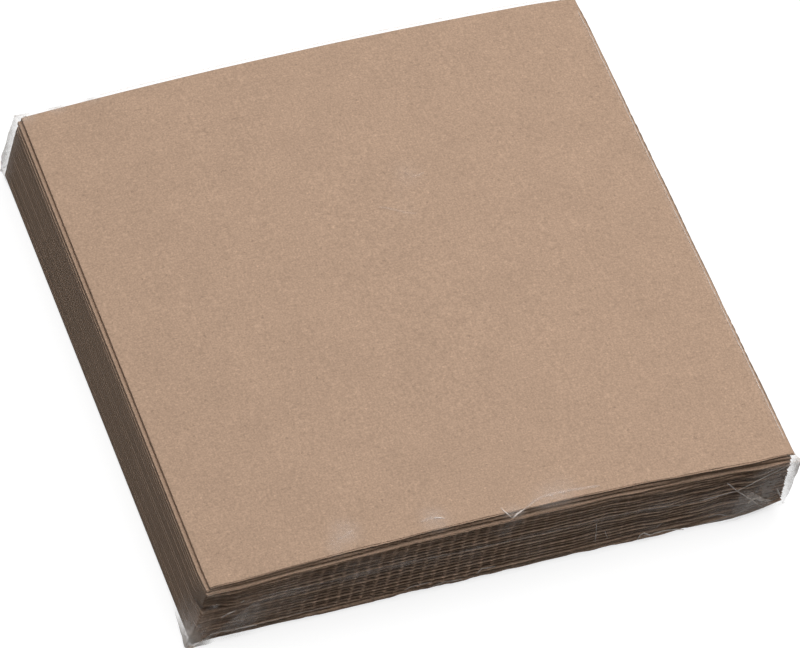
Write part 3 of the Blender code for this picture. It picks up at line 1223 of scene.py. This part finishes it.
def haze_at(column, row, x, y, z):
    """How clouded the film is: the cut flap edges, the ears in the corners and the listed patches."""
    _, kind, value = row
    haze = 0.0
    if kind == "flap" and value > 0.97 and column[0] in ("roof", "floor"):
        haze = cut_edge_haze
    for tip_side, tip_end, peak, _, _, spread, base, power, amount in ears:
        near = ear_near(x, y, tip_side, tip_end, 0.55 * spread, 0.30 * spread)
        haze = max(haze, amount * near ** 1.6 * ear_tent(min(z / film_top, 1), peak, base, power))
    face = "top" if z > film_top - 0.5 * mm else "front"
    for patch_face, across, other, radius, amount in haze_patches:
        if face != patch_face or (face == "front" and y > 0):
            continue
        away = math.hypot(x / mm - across, (y if face == "top" else z) / mm - other)
        haze = haze + amount * float(ramp(1 - away / radius))
    return haze


print("clouded patches:", len(haze_patches))

# %% [markdown]
# ## Crumples, lean and bend
#
# Thin film never lies smooth. Noise at three scales bulges it a little, most where the ends are
# folded, and the sharp ridges of crumpled film come from noise that is folded at zero. The wrap is
# then bent and leaned by the same functions as the stack inside it, so it stays just clear of it.

# %% Crumples and bends of the film
def crumple_at(x, y, z):
    """How far the film bulges out at a place, in metres."""
    from_end = film_half_y - abs(y)
    from_side = film_half_x - abs(x)
    at_end = max(1 - abs(from_end) / (12 * mm), 0)
    at_side = max(1 - abs(from_side) / (8 * mm), 0)
    low = max(1 - z / (6 * mm), 0)
    place = Vector((x, y, z))
    slow = noise.noise(place / (11 * mm))
    quick = 1 - abs(noise.noise(place / (4.5 * mm) + Vector((3, 1, 7)))) * 2
    fine = 1 - abs(noise.noise(place / (2.2 * mm) + Vector((9, 4, 2)))) * 2
    bulge = 0.05 * mm * slow
    bulge += at_end * (0.16 * mm * max(quick, 0) + 0.05 * mm * fine)
    bulge += at_end * at_side * 0.18 * mm * max(quick, 0)
    bulge += low * at_end * 0.15 * mm * fine
    return bulge


def leaned(x, y, z):
    """Move a place of the film as the stack leans and lies."""
    share = (z - stack_floor) / stack_height - 0.5
    return x + stack_middle.x + lean_x * share, y + stack_middle.y + lean_y * share, z


def wrapped(x, y, z, off_x=0.0, off_y=0.0):
    """Bend a place of the straight wrap as the stack is bent, and add what it stands off."""
    inside_x = min(max(x, -half_x), half_x)
    inside_y = min(max(y, -half_y), half_y)
    share = min(max(z / film_top, 0), 1)
    moved_x, _ = bent(inside_x, inside_y, share * stack_height)
    rise = float(lift_at(inside_x, inside_y, share) - droop_at(inside_x, inside_y, share))
    tuck = film_tuck_x * float(ramp(x / film_half_x))
    lift = film_floor_lift * float(ramp(1 - (film_half_y - abs(y)) / (9 * mm))) * (1 - share)
    pull = float(reach_at(inside_x) - reach_back) * (inside_y + half_y) / (2 * half_y)
    return x + float(moved_x) - inside_x + off_x - tuck, y + off_y + pull, z + rise + lift


print("film at the right, mm:", [round(v / mm, 1) for v in wrapped(film_half_x, 0.0, 0.0)])

# %% [markdown]
# ## Making the film
#
# Now the grid of columns and rows becomes a mesh. Columns that lie on the same place, as in a
# gusset, are joined, and after that the surface is crumpled along its normals. Nothing may sink
# into the floor.

# %% Make the film
def make_wrap():
    """The film as one mesh with its haze stored on its points."""
    points = []
    hazes = []
    for row in rows:
        for column in columns:
            x, y, z = film_point(column, row)
            share = min(max(z / film_top, 0), 1)
            off_x, off_y = ear_at(x, y, share)
            hazes.append(haze_at(column, row, x, y, z))
            points.append(wrapped(x, y, z, off_x, off_y))
    wide = len(columns)
    faces = []
    for r in range(len(rows) - 1):
        for c in range(wide - 1):
            a = r * wide + c
            faces.append((a, a + 1, a + wide + 1, a + wide))
    wrap = add_piece("film", points, faces, clear_film)
    layer = wrap.data.attributes.new("haze", "FLOAT", "POINT")
    layer.data.foreach_set("value", hazes)
    shape = bmesh.new()
    shape.from_mesh(wrap.data)
    bmesh.ops.remove_doubles(shape, verts=shape.verts, dist=0.001 * mm)
    shape.normal_update()
    moved = [vert.co + vert.normal * crumple_at(*vert.co) for vert in shape.verts]
    for vert, place in zip(shape.verts, moved):
        vert.co = Vector(leaned(*place))
        vert.co.z = max(vert.co.z, 0.0)
    shape.to_mesh(wrap.data)
    shape.free()
    wrap.data.shade_smooth()
    return wrap


wrap = make_wrap()
print("film faces:", len(wrap.data.polygons))

# %% [markdown]
# ## Creases
#
# A sharp crease in clear film shows as a fine white line. The film's own grid is too coarse for
# these, so each crease is a narrow low ridge of its own that lies on the film. They are listed by
# face with their width, their haze and the places that they pass through: the slanted creases of
# the envelope folds, the seam under the pack, the crumpled lower edge and a few scratches.

# %% Places on the film
def on_end(end, x, z):
    """A point on the flaps of one end, from its place across and its height."""
    return wrapped(x, end * (film_half_y + layer_of["floor"] * film_layer), z)


def on_top(x, y):
    """A point on the film over the stack."""
    return wrapped(x, y, film_top + float(crown_at(x, y)))


def on_face(face, a, b):
    """A point on a face of the wrap."""
    if face == "top":
        return on_top(a, b)
    if face == "under":
        return a, b, 0.0
    return on_end(1 if face == "back" else -1, a, b)


print("middle of the top film, mm:", round(on_top(0.0, 0.0)[2] / mm, 2))

# %% List of creases
# Creases as (face, width in mm, haze, points in mm); an end's points are (x, z), the top's (x, y)
creases = (
    ("front", 0.26, 0.34, ((-67.2, 17.3), (-56.6, 17), (-48.1, 16.6), (-41.2, 17.3), (-35.5, 17.4),
                           (-27.5, 17.5), (-11.9, 16.4), (2.1, 16.1), (16.4, 15.9), (29.5, 16.6),
                           (39.4, 16.3), (52.3, 14.4), (58.3, 14.3))),
    ("front", 0.34, 0.85, ((58.3, 14.3), (67.9, 14.9), (75.5, 18.3), (82.9, 21.7))),
    ("front", 0.34, 0.75, ((64.1, 20), (67.9, 14.9), (72.6, 9.6), (77.1, 3.2))),
    ("front", 0.18, 0.22, ((38.7, 20.6), (33, 21.5), (28.7, 21.4), (24.2, 21.7), (15.4, 21.6))),
    ("front", 0.26, 0.50, ((27.1, 15.6), (27.6, 11), (28.2, 5.8))),
    ("front", 0.22, 0.40, ((30.3, 10.4), (31.1, 8.4), (31.8, 6.8))),
    ("front", 0.70, 0.70, ((-77.4, 11.7), (-75.5, 12.8), (-73.9, 13.2))),
    ("front", 0.50, 0.60, ((-72.8, 16.3), (-72.1, 17.2))),
    ("front", 0.60, 0.95, ((-72.3, 4.7), (-69.2, 4.5), (-66.2, 4.3))),
    ("front", 0.50, 0.60, ((-79.2, 4.8), (-75.9, 5), (-72.2, 4.4))),
    ("front", 0.90, 0.85, ((72.2, 7.9), (73.5, 9.1), (74.6, 8.9), (76.3, 6.8), (77.5, 6.5))),
    ("front", 0.45, 0.60, ((77.5, 6.5), (79.4, 4.8), (80.4, 5.6))),
    ("front", 0.45, 0.80, ((80, 10.7), (80.8, 7.6), (81.9, 4.8))),
    ("front", 0.50, 0.85, ((40.9, 2.6), (41.4, 4.6), (42.5, 5.2), (44.5, 3.5), (45.9, 3.9), (48.8, 4),
                           (52.1, 3.3), (54.5, 2.4))),
    ("front", 0.40, 0.80, ((-5.1, 4.4), (-3.9, 6.2), (-1.9, 5.9), (-0.2, 5.9))),
    ("front", 0.35, 0.60, ((-17.9, 2.9), (-13.9, 4.1), (-10.4, 3.5), (-9, 3.4))),
    ("front", 0.35, 0.60, ((-25.4, 4.4), (-23.3, 5.4), (-19.7, 5.4), (-17.7, 5.3))),
    ("front", 0.40, 0.60, ((56.2, 2.9), (60.6, 2.9), (65.5, 3.2), (69.2, 3.6))),
    ("front", 0.35, 0.50, ((61, 5.7), (64.5, 5.8), (66.8, 4), (69.1, 4.4), (72.7, 4.9))),
    ("front", 0.30, 0.40, ((44.6, 6.2), (47.5, 7.8))),
    ("front", 0.30, 0.45, ((-68.1, 4.5), (-59.8, 4.8), (-54.4, 5.2), (-46, 4.9))),
    ("top", 0.40, 0.60, ((-1, -81), (-0, -83.2), (0.8, -84.9))),
    ("top", 0.50, 0.62, ((0.9, -85), (2.8, -83.9), (5, -83))),
    ("top", 0.80, 0.20, ((5, -83), (8.5, -81.3), (11.8, -80.4), (15.2, -80.3), (20.4, -80.4),
                         (27.5, -81))),
    ("top", 1.10, 0.16, ((-22.8, -79.5), (-21, -79.2), (-18.8, -79.3), (-17.1, -80))),
    ("top", 0.50, 0.60, ((-19.1, -79.1), (-17.5, -79.6), (-16.5, -80.3))),
    ("top", 0.90, 0.10, ((-46.1, -78.5), (-43.4, -78), (-40.7, -76.6))),
    ("top", 0.80, 0.10, ((13.9, 32), (16.1, 32.2), (18, 32.6))),
    ("top", 0.70, 0.09, ((1.4, 24.4), (4.4, 22.9), (7.7, 20.6), (10.8, 19.4))),
    ("top", 0.34, 0.60, ((-60, 84.4), (-30, 84.45), (0, 84.4), (40, 84.45), (79, 84.4))),
    ("top", 0.30, 0.45, ((83.2, -78), (83.3, -40), (83.2, 0), (83.3, 40), (83.2, 79))),
    ("under", 0.30, 0.50, ((-9.8, -78), (-10, -30), (-9.9, 20), (-10, 78))),
    ("back", 0.26, 0.40, ((-64, 15.2), (-40, 15.9), (-12, 16.3), (18, 15.6), (44, 15.9), (66, 14.8))),
    ("back", 0.34, 0.75, ((66, 14.8), (72, 18.2), (81.5, 22.4))),
    ("back", 0.34, 0.75, ((-64, 15.2), (-71, 18), (-81, 22))),
    ("back", 0.34, 0.70, ((-66, 19.5), (-71, 12), (-78, 3))),
    ("back", 0.34, 0.70, ((64, 20.5), (70, 12.5), (77, 3.5))),
    ("back", 0.50, 0.80, ((-38, 1.2), (-34, 3), (-29, 2.2), (-22, 3.2), (-17, 1.2))),
    ("back", 0.45, 0.70, ((12, 1), (17, 2.9), (24, 2.2), (31, 1.2))),
    ("back", 0.90, 0.70, ((74, 6), (71, 4), (68, 5.5), (64, 3))),
    ("back", 0.26, 0.50, ((-9.5, 15.5), (-8.6, 10), (-8.9, 5))),
    ("back", 0.26, 0.45, ((38, 13.8), (39.5, 9), (39.2, 6))),
)
print("creases:", len(creases))


# %% Make the creases
def make_creases():
    """Sharp creases and cut edges as low ridges, two narrow slopes each."""
    points = []
    hazes = []
    faces = []
    outward = {
        "front": Vector((0, -1, 0)),
        "back": Vector((0, 1, 0)),
        "top": Vector((0, 0, 1)),
        "under": Vector((0, 0, 0)),
    }
    for face, wide, haze, path in creases:
        smooth = [Vector((a * mm, b * mm)) for a, b in path]
        line_points = []
        for start, stop in zip(smooth, smooth[1:]):
            count = max(int((stop - start).length / (1.0 * mm)), 1)
            line_points += [start.lerp(stop, k / count) for k in range(count)]
        line_points.append(smooth[-1])
        first = len(points)
        for number, spot in enumerate(line_points):
            after = line_points[min(number + 1, len(line_points) - 1)]
            before = line_points[max(number - 1, 0)]
            along = (after - before).normalized()
            across = Vector((-along.y, along.x))
            shake = noise.noise(Vector((spot.x, spot.y, wide)) / (2.5 * mm)) * 0.18 * mm
            taper = min(number, len(line_points) - 1 - number) / 2
            half = wide * mm / 2 * min(1, 0.35 + taper)
            for offset, height in ((-half, 0.02), (0, 0.02 + wide * 0.3), (half, 0.02)):
                where = spot + across * (offset + shake)
                lifted = Vector(on_face(face, *where)) + outward[face] * height * mm
                points.append(Vector(leaned(*lifted)))
                hazes.append(haze)
        for number in range(len(line_points) - 1):
            for column in range(2):
                a = first + number * 3 + column
                faces.append((a, a + 1, a + 4, a + 3))
    ridges = add_piece("film_creases", points, faces, clear_film)
    layer = ridges.data.attributes.new("haze", "FLOAT", "POINT")
    layer.data.foreach_set("value", hazes)
    return ridges


ridges = make_creases()
for piece in (ridges, wrap):
    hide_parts("film_wrap")
print("crease faces:", len(ridges.data.polygons))
